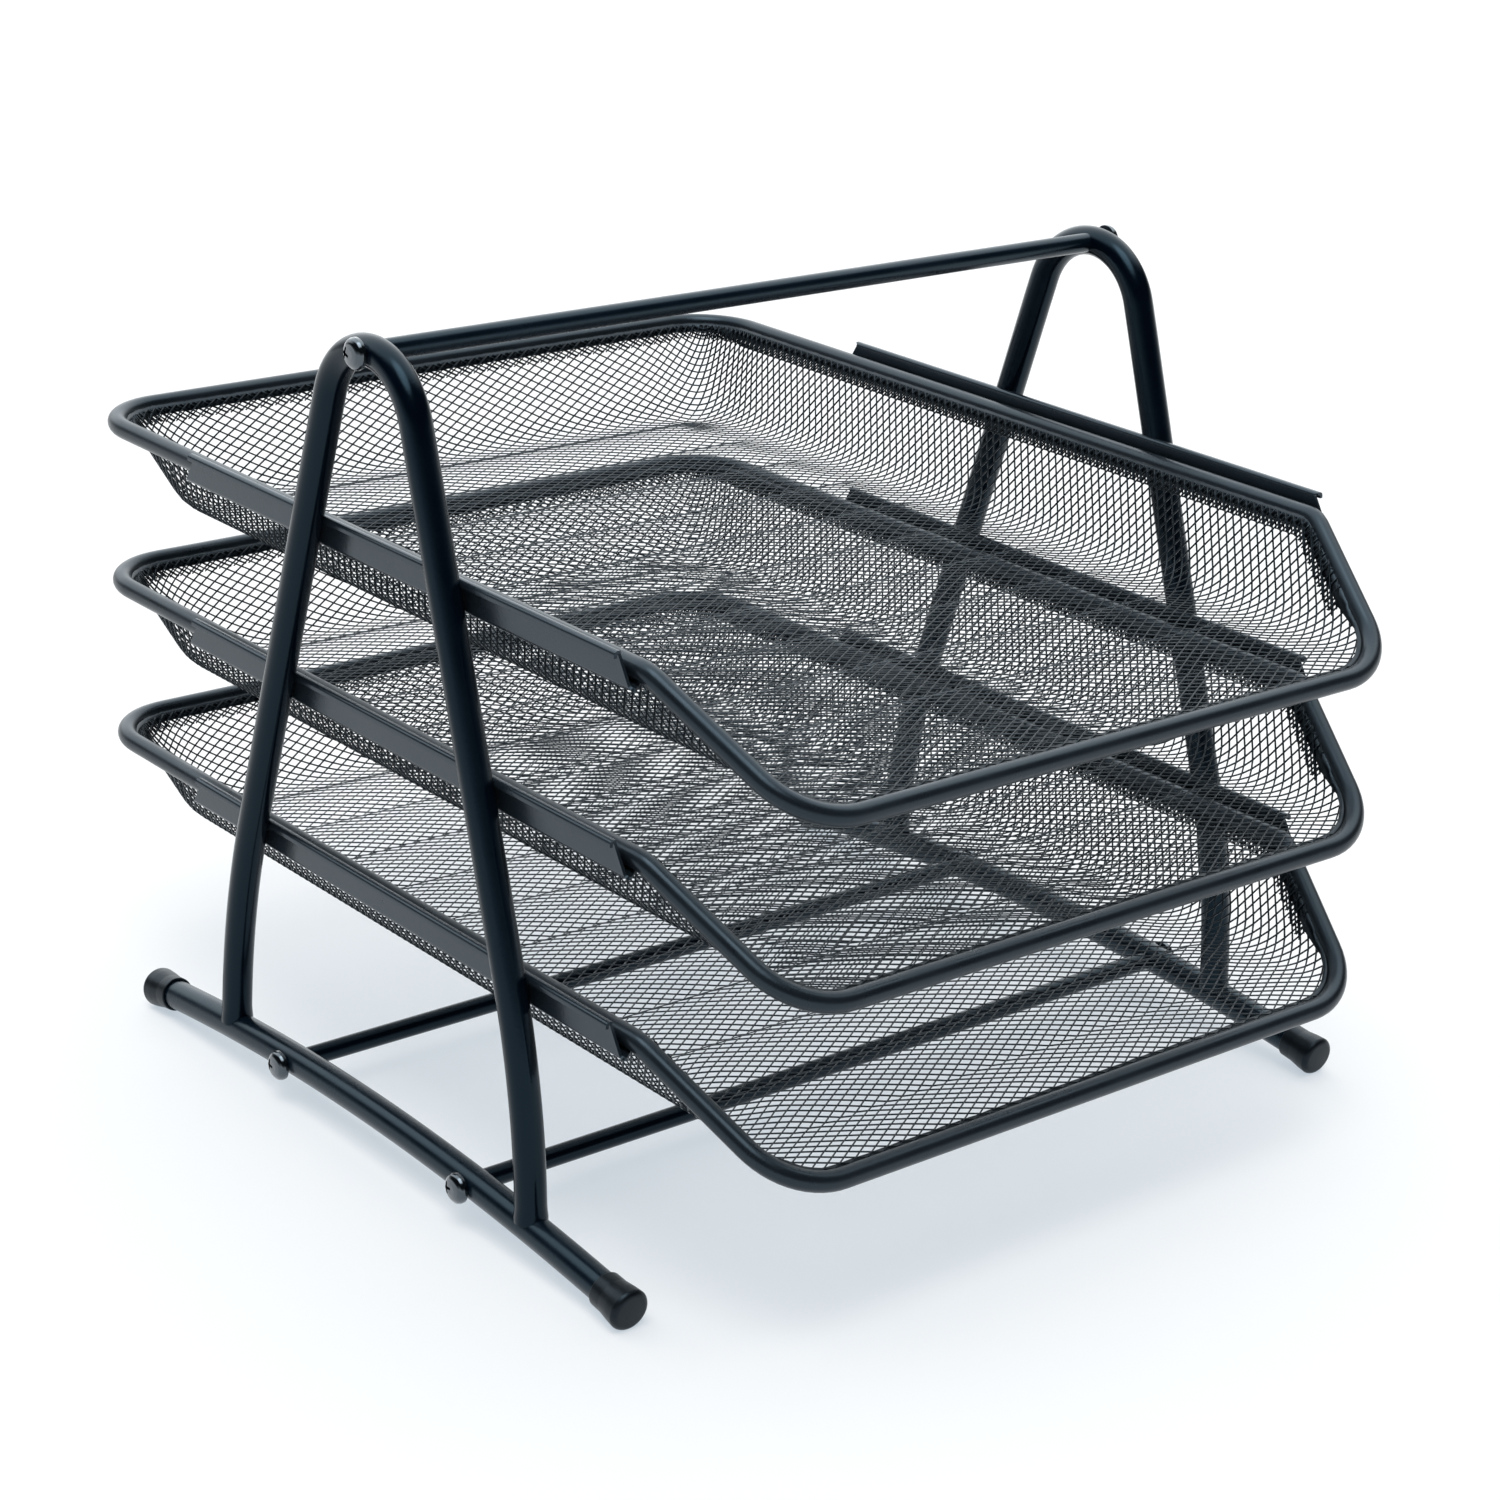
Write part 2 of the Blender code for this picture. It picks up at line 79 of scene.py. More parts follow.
def fix_normals(ob):
    import bmesh
    bm = bmesh.new()
    bm.from_mesh(ob.data)
    bmesh.ops.recalc_face_normals(bm, faces=bm.faces)
    bm.to_mesh(ob.data)
    bm.free()


def resample(path, step, closed=False):
    p = np.asarray(path, float)
    if closed:
        p = np.vstack([p, p[:1]])
    d = np.r_[0, np.cumsum(np.linalg.norm(np.diff(p, axis=0), axis=1))]
    n = max(2, int(round(d[-1] / step)))
    t = np.linspace(0, d[-1], n + 1)
    if closed:
        t = t[:-1]
    return np.c_[[np.interp(t, d, p[:, k]) for k in range(3)]].T


def fillet(pts, radii, closed=False, n=24):
    pts = [np.array(q, float) for q in pts]
    out, cnt = [], len(pts)
    for i in range(cnt):
        b, rr = pts[i], radii[i]
        if rr <= 0 or (not closed and i in (0, cnt - 1)):
            out.append(b)
            continue
        a, c = pts[i - 1], pts[(i + 1) % cnt]
        u = (a - b) / np.linalg.norm(a - b)
        v = (c - b) / np.linalg.norm(c - b)
        ang = math.acos(float(np.clip(u @ v, -1, 1)))
        t = rr / math.tan(ang / 2)
        cc = b + (u + v) / np.linalg.norm(u + v) * rr / math.sin(ang / 2)
        e0, e1, th = (b + u * t - cc) / rr, (b + v * t - cc) / rr, math.pi - ang
        for k in range(n + 1):
            s = k / n
            out.append(cc + rr * (e0 * math.sin((1 - s) * th) + e1 * math.sin(s * th)) / math.sin(th))
    return out


def sweep(name, path, radius, seg, mats, closed=False, side=None, caps=True):
    """round bar along a path; radius may be one number or one per station"""
    p = np.asarray(path, float)
    n = len(p)
    if closed:
        t = np.roll(p, -1, 0) - np.roll(p, 1, 0)
    else:
        t = np.gradient(p, axis=0)
    t /= np.linalg.norm(t, axis=1)[:, None]
    if side is None:
        s = np.cross(t, [0, 0, 1.0])
    else:
        s = np.tile(np.array(side, float), (n, 1))
    s /= np.linalg.norm(s, axis=1)[:, None]
    u = np.cross(s, t)
    r = np.broadcast_to(np.asarray(radius, float), (n,))
    a = np.arange(seg) * 2 * math.pi / seg
    co = p[:, None] + r[:, None, None] * (s[:, None] * np.cos(a)[None, :, None] + u[:, None] * np.sin(a)[None, :, None])
    i = np.arange(n if closed else n - 1)[:, None]
    k = np.arange(seg)[None]
    j, m = (i + 1) % n, (k + 1) % seg
    q = np.stack([i * seg + k, j * seg + k, j * seg + m, i * seg + m], -1).reshape(-1, 4)
    co = co.reshape(-1, 3)
    tris = []
    if not closed and caps:
        for base, e in ((0, p[0]), ((n - 1) * seg, p[-1])):
            co = np.vstack([co, e])
            c = len(co) - 1
            tris += [(base + v, base + (v + 1) % seg, c) for v in range(seg)]
    ob = mesh_object(name, co, q, mats, tris, sharp=40)
    fix_normals(ob)
    return ob


def lathe(name, prof, seg, axis, origin, mats, sharp=40):
    axis = Vector(axis).normalized()
    q = Vector((0, 0, 1)).rotation_difference(axis)
    pl = Matrix.Translation(Vector(origin)) @ q.to_matrix().to_4x4()
    co, quads, tris, idx = [], [], [], []
    for r, h in prof:
        if r < 1e-6:
            idx.append(len(co))
            co.append(pl @ Vector((0, 0, h)))
        else:
            idx.append([len(co) + k for k in range(seg)])
            co += [pl @ Vector((r * math.cos(2 * math.pi * k / seg), r * math.sin(2 * math.pi * k / seg), h)) for k in range(seg)]
    for a, b in zip(idx[:-1], idx[1:]):
        for k in range(seg):
            m = (k + 1) % seg
            if isinstance(a, int):
                tris.append((a, b[m], b[k]))
            elif isinstance(b, int):
                tris.append((a[k], a[m], b))
            else:
                quads.append((a[k], a[m], b[m], b[k]))
    ob = mesh_object(name, np.array([tuple(v) for v in co]), quads, mats, tris, sharp=sharp)
    fix_normals(ob)
    return ob


def round_profile(pts, radii, n=5):
    """fillet an open (r, h) profile"""
    q = fillet([(a, 0, b) for a, b in pts], radii, False, n)
    return [(float(v[0]), float(v[2])) for v in q]


def cut(ob, cutter):
    m = ob.modifiers.new("cut", "BOOLEAN")
    m.operation, m.solver, m.object = "DIFFERENCE", "EXACT", cutter
    deps = bpy.context.evaluated_depsgraph_get()
    deps.update()
    new = bpy.data.meshes.new_from_object(ob.evaluated_get(deps))
    ob.modifiers.remove(m)
    ob.data = new
    bpy.data.objects.remove(cutter, do_unlink=True)
    ob.data.shade_smooth()
    ob.data.set_sharp_from_angle(angle=math.radians(35))


# ---------------------------------------------------------------- materials
def paint(name, rgb, rough, spec, bump_scale, bump, mottling=0.0, coat=0.0, metal=0.0, speck=0.0, tint=(0.62, 0.83, 1.0)):
    m = bpy.data.materials.new(name)
    m.use_nodes = True
    nt = m.node_tree
    N, L = nt.nodes, nt.links
    b = N["Principled BSDF"]
    b.inputs["Specular IOR Level"].default_value = spec
    b.inputs["Specular Tint"].default_value = (*tint, 1.0)
    b.inputs["Metallic"].default_value = metal
    b.inputs["Coat Weight"].default_value = coat
    b.inputs["Coat Roughness"].default_value = 0.12
    tc = N.new("ShaderNodeTexCoord")
    n1 = N.new("ShaderNodeTexNoise")
    n1.inputs["Scale"].default_value = 55.0
    n1.inputs["Detail"].default_value = 5.0
    L.new(tc.outputs["Object"], n1.inputs["Vector"])
    r = N.new("ShaderNodeMapRange")
    r.inputs["From Min"].default_value = 0.3
    r.inputs["From Max"].default_value = 0.7
    r.inputs["To Min"].default_value = max(0.03, rough - 0.05)
    r.inputs["To Max"].default_value = rough + 0.07
    L.new(n1.outputs["Fac"], r.inputs["Value"])
    L.new(r.outputs["Result"], b.inputs["Roughness"])
    mix = N.new("ShaderNodeMix")
    mix.data_type = "RGBA"
    lo = [c * (1 - mottling) for c in rgb]
    hi = [c * (1 + mottling) + speck for c in rgb]
    mix.inputs["A"].default_value = (*lo, 1)
    mix.inputs["B"].default_value = (*hi, 1)
    L.new(n1.outputs["Fac"], mix.inputs["Factor"])
    L.new(mix.outputs["Result"], b.inputs["Base Color"])
    n2 = N.new("ShaderNodeTexNoise")
    n2.inputs["Scale"].default_value = bump_scale
    n2.inputs["Detail"].default_value = 3.0
    L.new(tc.outputs["Object"], n2.inputs["Vector"])
    bp = N.new("ShaderNodeBump")
    bp.inputs["Strength"].default_value = bump
    bp.inputs["Distance"].default_value = 0.0002
    L.new(n2.outputs["Fac"], bp.inputs["Height"])
    L.new(bp.outputs["Normal"], b.inputs["Normal"])
    return m


STEEL = paint("painted_steel", (0.0007, 0.0022, 0.0055), 0.18, 0.28, 900.0, 0.10, 0.25, tint=(0.45, 0.77, 1.0))
# painted light: a lighter copy of painted_steel for the handle and base tubes, standing in for the light their top
# faces catch; same powder coat as the legs
LIT_BAR_STEEL = paint("painted_steel_lit_bar", (0.0022, 0.0055, 0.0105), 0.23, 0.42, 900.0, 0.10, 0.25, tint=(0.50, 0.80, 1.0))
# painted light: a lighter copy of painted_steel for the rails, its raised base colour standing in for the floor light
# falling on the flat webs
LIT_RAIL_STEEL = paint("painted_steel_lit_rail", (0.0100, 0.0148, 0.0196), 0.22, 0.58, 800.0, 0.12, 0.2)
WIRE = paint("painted_mesh", (0.0018, 0.0025, 0.0036), 0.30, 0.42, 1500.0, 0.10, 0.3)
# painted reflection: the tray rims are the same black steel, given a lighter base colour for the bright surroundings
# they reflect; the higher roughness spreads their highlight
LIT_RIM_STEEL = paint("painted_steel_lit_rim", (0.0085, 0.0120, 0.0158), 0.29, 0.48, 900.0, 0.10, 0.2)
PLASTIC = paint("black_plastic", (0.0022, 0.0029, 0.0040), 0.34, 0.34, 1400.0, 0.20, 0.2)
SCREW = paint("screw_black", (0.0020, 0.0027, 0.0038), 0.10, 1.0, 700.0, 0.06, 0.2, coat=1.0)


def put(ob, body, slot, *nodes):
    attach(ob, body)
    if nodes:
        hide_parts(*nodes)
    return ob


# ---------------------------------------------------------------- stand
def leg_offset(z):
    w = LEG_SLOPE * (APEX_Z + 54.2 - z)
    if z < LEG_BEND_Z:
        w -= 10.6 * ((LEG_BEND_Z - z) / 73.0) ** 2
    return w


def base_z(y):
    u = (y - BASE_Y) / BASE_HALF
    return BASE_END_Z + (BASE_MID_Z - BASE_END_Z) * (1 - u * u)


def build_stand():
    beta = math.atan(LEG_SLOPE)
    for label, sx in (("left", -1), ("right", 1)):
        x = sx * FRAME_X
        zs = np.arange(13.0, 226.0, 2.0)
        b0 = APEX_Z - APEX_R + APEX_R * math.sin(beta)
        half = [(x, STAND_Y + leg_offset(z), z) for z in zs if z < b0 - 1.0]
        for k in range(29):
            a = beta + (math.pi / 2 - beta) * k / 28
            half.append((x, STAND_Y + APEX_R * math.cos(a), APEX_Z - APEX_R + APEX_R * math.sin(a)))
        path = half + [(px, 2 * STAND_Y - py, pz) for px, py, pz in half[:-1]][::-1]
        path = resample(path, 1.8)
        # weld flare where a leg lands on its base tube
        r = np.full(len(path), TUBE_R)
        for k, q in enumerate(path):
            e = q[2] - (base_z(q[1]) + TUBE_R)
            r[k] += 0.3 * max(0.0, 1 - max(e, 0.0) / 1.9) ** 2
        put(sweep(label + "_frame_look", path, r, 40, [STEEL], side=(1, 0, 0)), "stand", "black_painted_steel",
            label + "_a_frame_tube")
        ys = np.linspace(BASE_Y + BASE_HALF, BASE_Y - BASE_HALF, 110)
        put(sweep(label + "_base_look", [(x, y, base_z(y)) for y in ys], TUBE_R, 40, [LIT_BAR_STEEL], side=(1, 0, 0)),
            "stand", "black_painted_steel", label + "_base_tube")
        for end, sy in (("rear", 1), ("front", -1)):
            slope = -2 * (BASE_MID_Z - BASE_END_Z) / BASE_HALF
            prof = round_profile([(0, 3.9), (5.7, 3.7), (6.4, 2.2), (6.15, -0.8), (5.62, -4.6), (5.55, -9.0), (4.85, -9.0), (4.85, -7.0), (4.4, -6.5)],
                                 [0, 1.9, 1.0, 6, 3, 0.35, 0.2, 0, 0], 9)
            cap = lathe("cap_look_%s_%s" % (label, end), prof, 64, (0, sy, slope), (x, BASE_Y + sy * BASE_HALF, BASE_END_Z), [PLASTIC])
            # flatten the underside onto the desk
            me = cap.data
            co = np.empty(len(me.vertices) * 3, np.float32)
            me.vertices.foreach_get("co", co)
            co = co.reshape(-1, 3)
            co[:, 2] = np.maximum(co[:, 2], 0.00002)
            me.vertices.foreach_set("co", co.ravel())
            me.update()
            put(cap, "stand", "black_plastic", "end_cap_%s_%s" % (label, end))
    e = FRAME_X - TUBE_R + 0.9
    put(sweep("handle_look", resample([(-e, STAND_Y, APEX_Z), (e, STAND_Y, APEX_Z)], 8), 3.1, 40, [LIT_BAR_STEEL]), "stand",
        "black_painted_steel", "handle_bar")
    for end, y in BAR_Y.items():
        put(sweep(end + "_bar_look", resample([(-e, y, BAR_Z), (e, y, BAR_Z)], 8), BAR_R, 32, [STEEL]), "stand",
            "black_painted_steel", end + "_cross_bar")


def build_screws():
    spots = {"handle_screw_%s": (STAND_Y, APEX_Z), "base_screw_%s_rear": (BAR_Y["rear"], BAR_Z), "base_screw_%s_front": (BAR_Y["front"], BAR_Z)}
    turn = 0.35
    for pattern, (y, z) in spots.items():
        for label, sx in (("left", -1), ("right", 1)):
            name = pattern % label
            prof = round_profile([(0, -3.0), (1.7, -3.0), (1.7, 0.0), (4.7, 0.0), (4.7, 1.0), (4.35, 1.9), (3.2, 2.75), (1.6, 3.0), (0, 3.0)],
                                 [0, 0, 0, 0.15, 0.5, 1.2, 2.0, 2.0, 0], 6)
            origin = (sx * (FRAME_X + TUBE_R + 0.05), y, z)
            ob = lathe(name + "_look", prof, 56, (sx, 0, 0), origin, [SCREW], sharp=50)
            turn += 0.9
            top, low = [], []
            for k in range(4):
                a = k * math.pi / 2 + turn
                for r, da in ((2.35, -0.17), (2.35, 0.17)):
                    top.append((r * math.cos(a + da), r * math.sin(a + da), 3.6))
                    low.append((0.5 * r * math.cos(a + da * 1.4), 0.5 * r * math.sin(a + da * 1.4), 1.1))
                b = a + math.pi / 4
                top.append((0.72 * math.cos(b), 0.72 * math.sin(b), 3.6))
                low.append((0.5 * math.cos(b), 0.5 * math.sin(b), 1.1))
            q = Vector((0, 0, 1)).rotation_difference(Vector((sx, 0, 0)))
            pl = Matrix.Translation(Vector(origin)) @ q.to_matrix().to_4x4()
            co = [pl @ Vector(v) for v in low + top]
            me = bpy.data.meshes.new("c")
            faces = [tuple(range(12)), tuple(range(12, 24))] + [(k, (k + 1) % 12, 12 + (k + 1) % 12, 12 + k) for k in range(12)]
            me.from_pydata([v * MM for v in co], [], faces)
            cutter = bpy.data.objects.new("c", me)
            bpy.context.scene.collection.objects.link(cutter)
            fix_normals(cutter)
            cut(ob, cutter)
            put(ob, "stand", "black_screw_steel", name)


def build_rails():
    for tier, zi in TIER.items():
        for label, sx in (("left", -1), ("right", 1)):
            t = 0.5
            xc = RAIL_OUT - t
            zl = zi - RIM_R - 0.3 - t
            # ledge, bend, web, lip: a filleted ribbon
            raw = [(126.6, 0, zl), (xc, 0, zl), (xc, 0, zi + RAIL_TOP - 0.6), (xc + 1.85, 0, zi + RAIL_TOP - 0.45), (xc + 1.85, 0, zi + RAIL_TOP - 2.1)]
            line = np.array(fillet(raw, [0, 1.0, 0.75, 0.85, 0], False, 8))[:, [0, 2]]
            d = np.gradient(line, axis=0)
            d /= np.linalg.norm(d, axis=1)[:, None]
            nrm = np.c_[-d[:, 1], d[:, 0]]
            top = zi + 0.6
            bot = zi + RAIL_LOW
            f = np.clip((line[:, 1] - bot) / (top - bot), 0, 1)
            yb, yf = RAIL_BACK - RAIL_CUT * f, RAIL_FRONT + RAIL_CUT * f
            lip = line[:, 0] > xc + 0.3
            yb[lip] += 0.8
            yf[lip] -= 0.8
            ledge = line[:, 0] < xc - 1.2
            yf[ledge] = np.maximum(yf[ledge], -118.6)
            st = 60
            rows = []
            n = len(line)
            for s in np.linspace(0, 1, st):
                y = yf + (yb - yf) * s
                o = line + nrm * t
                i = line - nrm * t
                rows.append(np.vstack([np.c_[sx * o[:, 0], y, o[:, 1]], np.c_[sx * i[::-1, 0], y[::-1], i[::-1, 1]]]))
            m = 2 * n
            co = np.vstack(rows)
            I = np.arange(st - 1)[:, None]
            K = np.arange(m)[None]
            q = np.stack([I * m + K, (I + 1) * m + K, (I + 1) * m + (K + 1) % m, I * m + (K + 1) % m], -1).reshape(-1, 4).tolist()
            for b in (0, (st - 1) * m):
                for k in range(n - 1):
                    q.append((b + k, b + k + 1, b + m - 2 - k, b + m - 1 - k))
            ob = mesh_object("%s_rail_%s_look" % (tier, label), co, q, [LIT_RAIL_STEEL], sharp=40)
            fix_normals(ob)
            bv = ob.modifiers.new("edge", "BEVEL")
            bv.width = 0.00012
            bv.segments = 2
            bv.limit_method = "ANGLE"
            bv.angle_limit = math.radians(50)
            put(ob, "stand", "black_painted_steel", "%s_rail_%s" % (tier, label))


# ---------------------------------------------------------------- trays
FLOOR_X, FLOOR_YB, CR = 104.0, 150.7, 20.0
LEAN, FR = math.radians(24.5), 12.0
PHI = math.pi / 2 - LEAN
ARC = FR * PHI
FLOOR_DROP = 28.5
STRAIGHT = (FLOOR_DROP - FR * (1 - math.cos(PHI))) / math.cos(LEAN)
WALL_S = ARC + STRAIGHT
PX, PY = 5.75, 3.34


def wall(s):
    """arc length up the wall -> plan run and height"""
    a = np.clip(s, 0, ARC) / FR
    e = np.maximum(s - ARC, 0)
    return FR * np.sin(a) + e * math.sin(LEAN), FR * (1 - np.cos(a)) + e * math.cos(LEAN)


def ribs(x, y):
    """cross panels between the pressed grooves, each arched and falling steeply into the next groove"""
    pitch = 29.5
    f = (y + 148.0) / pitch
    k = np.floor(f)
    t = f - k
    on = (k >= 0) & (k <= 9)
    rise = lambda q: pitch * (0.19 * q - 0.145 * q * q)
    e = np.clip((t - 0.87) / 0.13, 0, 1)
    z = rise(np.minimum(t, 0.87)) * (1 - e * e * (3 - 2 * e)) - 0.45
    ex = np.clip((FLOOR_X - 3 - np.abs(x)) / 16.0, 0, 1)
    ex = ex * ex * (3 - 2 * ex)
    ey = np.clip((y + 166) / 8.0, 0, 1) * np.clip((FLOOR_YB - 2 - y) / 8.0, 0, 1)
    return np.where(on, z, 0) * ex * ey


def sheet(u, v):
    """blank coordinates -> point of the drawn basket, height measured from the rim centre"""
    u, v = np.asarray(u, float), np.asarray(v, float)
    au = np.abs(u)
    cx, cy = FLOOR_X - CR, FLOOR_YB - CR
    dx, dy = au - cx, v - cy
    px, py = np.maximum(dx, 1e-9), np.maximum(dy, 1e-9)
    p = 6.0
    rho = np.where(dy <= 0, dx, np.where(dx <= 0, dy, (px ** p + py ** p) ** (1 / p)))
    s = np.maximum(rho - CR, 0)
    run, h = wall(s)
    x = np.where(s > 0, cx + CR + run, au)
    y = v.copy()
    back = (dx <= 0) & (dy > 0)
    y = np.where(back & (s > 0), cy + CR + run, y)
    x = np.where(back, au, x)
    cor = (dx > 0) & (dy > 0)
    r = np.clip(rho, 1e-6, CR)
    half = run + r * math.pi / 4
    g = np.where(dx >= dy, py / px, px / py)
    g = np.clip(g, 0, 1)
    ln = g * rho * (1 - (1 - half / np.maximum(rho, 1e-6)) * g)
    straight = ln < run
    ang = np.clip((ln - run) / r, 0, math.pi / 2)
    a_x = cx + run + np.where(straight, r, r * np.cos(ang))
    a_y = cy + np.where(straight, ln, run + r * np.sin(ang))
    # mirrored half of the corner
    b_x = cx + np.where(straight, ln, run + r * np.sin(ang))
    b_y = cy + run + np.where(straight, r, r * np.cos(ang))
    x = np.where(cor, np.where(dx >= dy, a_x, b_x), x)
    y = np.where(cor, np.where(dx >= dy, a_y, b_y), y)
    z = -FLOOR_DROP + h + np.where(s <= 0, ribs(x, y), 0)
    dip = np.clip((-160.0 - y) / 8.0, 0, 1)
    z = z - 0.9 * dip * (s < 6)
    return np.stack([np.sign(u) * x, y, z], -1), s


def rim_line(n=24):
    w, f, h, b = RIM_W, RIM_FW, HALF_D, BACK_D
    pts = [(-w, b, 0), (w, b, 0), (w, SLOPE_Y, 0), (f, -h, -DROP), (-f, -h, -DROP), (-w, SLOPE_Y, 0)]
    return np.array(fillet(pts, [23, 23, 9, 24, 24, 9], True, n))


def inset(line, d):
    p = resample(line, 2.0, True)[:, :2]
    t = np.roll(p, -1, 0) - np.roll(p, 1, 0)
    t /= np.linalg.norm(t, axis=1)[:, None]
    n = np.c_[t[:, 1], -t[:, 0]]
    c = p.mean(0)
    if ((c - p[0]) @ n[0]) < 0:
        n = -n
    return p + n * d


def in_poly(x, y, poly):
    ins = np.zeros(x.shape, bool)
    a = poly
    b = np.roll(poly, -1, 0)
    for (x0, y0), (x1, y1) in zip(a, b):
        if y0 == y1:
            continue
        c = ((y0 > y) != (y1 > y)) & (x < (x1 - x0) * (y - y0) / (y1 - y0) + x0)
        ins ^= c
    return ins


def rim_height(y):
    e = 5.0
    s = SLOPE_Y - y
    s = np.where(s <= -e, 0, np.where(s < e, (s + e) ** 2 / (4 * e), s))
    return -DROP * s / (SLOPE_Y + HALF_D)


RIM = rim_line()
OUTER = inset(RIM, 2.6)
BANDS = inset(RIM, 6.3)


def inside(u, v, top_s, poly):
    p, s = sheet(u, v)
    ok = (s <= top_s) & in_poly(p[..., 0], p[..., 1], poly)
    ok &= (p[..., 2] <= rim_height(p[..., 1]) + 0.6) | (s < 2.0) & (p[..., 1] > -169.0)
    return ok


def lattice(name, zi, lift=0.0, shift=(0.0, 0.0), band=None, width=0.50, thick=0.16, px=PX, py=PY):
    """two crossing families of strands over the drawn sheet"""
    I = np.arange(-60, 61)
    J = np.arange(-130, 131)
    ii, jj = np.meshgrid(I, J, indexing="ij")
    u = ii * px / 2 + shift[0]
    v = jj * py / 2 + shift[1]

    def ok_at(a, b):
        r = inside(a, b, WALL_S, OUTER)
        if band is not None:
            p, s = sheet(a, b)
            near = (s > WALL_S - band) | (~in_poly(p[..., 0], p[..., 1], BANDS) & (p[..., 1] > -146.0))
            r &= near
        return r

    good = ok_at(u, v) & (((ii + jj) % 2) == 0)
    U, V, T, F, first = [], [], [], [], []
    starts, ends = [], []
    total = 0
    idx_i = {int(a): k for k, a in enumerate(I)}
    runs = []
    for fam in (1, -1):
        for c in range(-190, 191):
            js = I - c if fam == 1 else c - I
            m = (js >= J[0]) & (js <= J[-1]) & (((I + js) % 2) == 0)
            if not m.any():
                continue
            a = np.nonzero(m)[0]
            b = js[a] - J[0]
            g = good[a, b]
            if not g.any():
                continue
            k = np.nonzero(g)[0]
            for seg in np.split(k, np.nonzero(np.diff(k) > 1)[0] + 1):
                runs.append((u[a[seg], b[seg]], v[a[seg], b[seg]], fam))
    # extend both ends to the trimmed edge
    e0, e1 = [], []
    for ru, rv, fam in runs:
        e0.append((ru[0], rv[0], -px / 2, -fam * py / 2))
        e1.append((ru[-1], rv[-1], px / 2, fam * py / 2))
    out = []
    for e in (np.array(e0), np.array(e1)):
        lo, hi = np.zeros(len(e)), np.ones(len(e))
        for _ in range(9):
            mid = (lo + hi) / 2
            g = ok_at(e[:, 0] + mid * e[:, 2], e[:, 1] + mid * e[:, 3])
            lo = np.where(g, mid, lo)
            hi = np.where(g, hi, mid)
        out.append((e[:, 0] + lo * e[:, 2], e[:, 1] + lo * e[:, 3], lo))
    us, vs, fams, lens = [], [], [], []
    for k, (ru, rv, fam) in enumerate(runs):
        a, b = [ru], [rv]
        if out[0][2][k] > 0.06:
            a.insert(0, [out[0][0][k]])
            b.insert(0, [out[0][1][k]])
        if out[1][2][k] > 0.06:
            a.append([out[1][0][k]])
            b.append([out[1][1][k]])
        a, b = np.concatenate(a), np.concatenate(b)
        if len(a) < 2:
            continue
        us.append(a)
        vs.append(b)
        fams.append(np.full(len(a), fam))
        lens.append(len(a))
    uu, vv, ff = np.concatenate(us), np.concatenate(vs), np.concatenate(fams)
    P, up_wall = sheet(uu, vv)
    h = 0.35
    Pu = sheet(uu + h, vv)[0] - sheet(uu - h, vv)[0]
    Pv = sheet(uu, vv + h)[0] - sheet(uu, vv - h)[0]
    nrm = np.cross(Pu, Pv)
    nrm /= np.linalg.norm(nrm, axis=1)[:, None] + 1e-12
    nrm[nrm[:, 2] < -0.2] *= -1
    tan = Pu * px + (Pv * py) * ff[:, None]
    tan /= np.linalg.norm(tan, axis=1)[:, None] + 1e-12
    sd = np.cross(tan, nrm)
    sd /= np.linalg.norm(sd, axis=1)[:, None] + 1e-12
    tilt = math.radians(22) * ff[:, None]
    s2 = sd * np.cos(tilt) + nrm * np.sin(tilt)
    n2 = -sd * np.sin(tilt) + nrm * np.cos(tilt)
    C = P + nrm * lift
    w = width / 2
    t = (thick / 2 * (1 + 1.3 * np.clip((up_wall - 4) / 7, 0, 1)))[:, None]
    V4 = np.stack([C + s2 * w + n2 * t, C - s2 * w + n2 * t, C - s2 * w - n2 * t, C + s2 * w - n2 * t], 1)
    V4[..., 2] += zi
    off = np.r_[0, np.cumsum(lens)]
    last = np.zeros(len(uu), bool)
    last[off[1:] - 1] = True
    i = np.nonzero(~last)[0]
    k = np.arange(4)
    q = np.stack([i[:, None] * 4 + k, i[:, None] * 4 + (k + 1) % 4, (i[:, None] + 1) * 4 + (k + 1) % 4, (i[:, None] + 1) * 4 + k], -1).reshape(-1, 4)
    a, b = off[:-1] * 4, (off[1:] - 1) * 4
    capq = np.vstack([np.stack([a + 3, a + 2, a + 1, a], -1), np.stack([b, b + 1, b + 2, b + 3], -1)])
    return mesh_object(name, V4.reshape(-1, 3), np.vstack([q, capq]), [WIRE], smooth=False)


